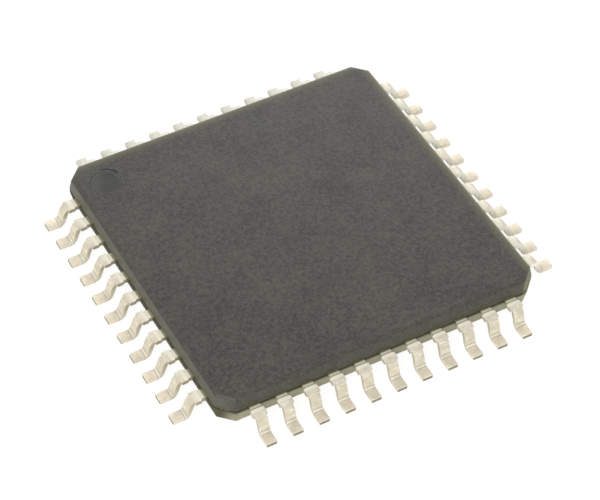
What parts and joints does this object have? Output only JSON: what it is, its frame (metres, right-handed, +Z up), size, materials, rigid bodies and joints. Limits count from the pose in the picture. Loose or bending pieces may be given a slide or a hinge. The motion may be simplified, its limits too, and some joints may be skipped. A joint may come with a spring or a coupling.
{
  "type": "integrated circuit",
  "caption": "Square moulded integrated circuit with rows of gull-wing leads along its sides, cut corners and a dished orientation mark.",
  "frame": {"origin": "centre of the seating plane, on which the feet of the leads stand", "axes": "+Z up, square to the seating plane; +X and +Y along the sides, with pin one at the corner where X is lowest and Y is highest"},
  "size_m": [0.012, 0.012, 0.0011],
  "materials": {
    "mould_compound": "fine spark-eroded matte, dark grey",
    "plated_lead": "matte tin plate",
    "frame_alloy": "bare copper alloy",
    "die_adhesive": "silver-filled adhesive",
    "silicon": "polished silicon",
    "bond_wire": "gold wire"
  },
  "bodies": {
    "root": {"moulded_body": "mould_compound", "lead_01": "plated_lead", "lead_02": "plated_lead", "lead_03": "plated_lead", "lead_04": "plated_lead", "lead_05": "plated_lead", "lead_06": "plated_lead", "lead_07": "plated_lead", "lead_08": "plated_lead", "lead_09": "plated_lead", "lead_10": "plated_lead", "lead_11": "plated_lead", "lead_12": "plated_lead", "lead_13": "plated_lead", "lead_14": "plated_lead", "lead_15": "plated_lead", "lead_16": "plated_lead", "lead_17": "plated_lead", "lead_18": "plated_lead", "lead_19": "plated_lead", "lead_20": "plated_lead", "lead_21": "plated_lead", "lead_22": "plated_lead", "lead_23": "plated_lead", "lead_24": "plated_lead", "lead_25": "plated_lead", "lead_26": "plated_lead", "lead_27": "plated_lead", "lead_28": "plated_lead", "lead_29": "plated_lead", "lead_30": "plated_lead", "lead_31": "plated_lead", "lead_32": "plated_lead", "lead_33": "plated_lead", "lead_34": "plated_lead", "lead_35": "plated_lead", "lead_36": "plated_lead", "lead_37": "plated_lead", "lead_38": "plated_lead", "lead_39": "plated_lead", "lead_40": "plated_lead", "lead_41": "plated_lead", "lead_42": "plated_lead", "lead_43": "plated_lead", "lead_44": "plated_lead", "die_pad": "frame_alloy", "die_attach": "die_adhesive", "silicon_die": "silicon", "bond_wires_left": "bond_wire", "bond_wires_front": "bond_wire", "bond_wires_right": "bond_wire", "bond_wires_back": "bond_wire"}
  },
  "joints": []
}
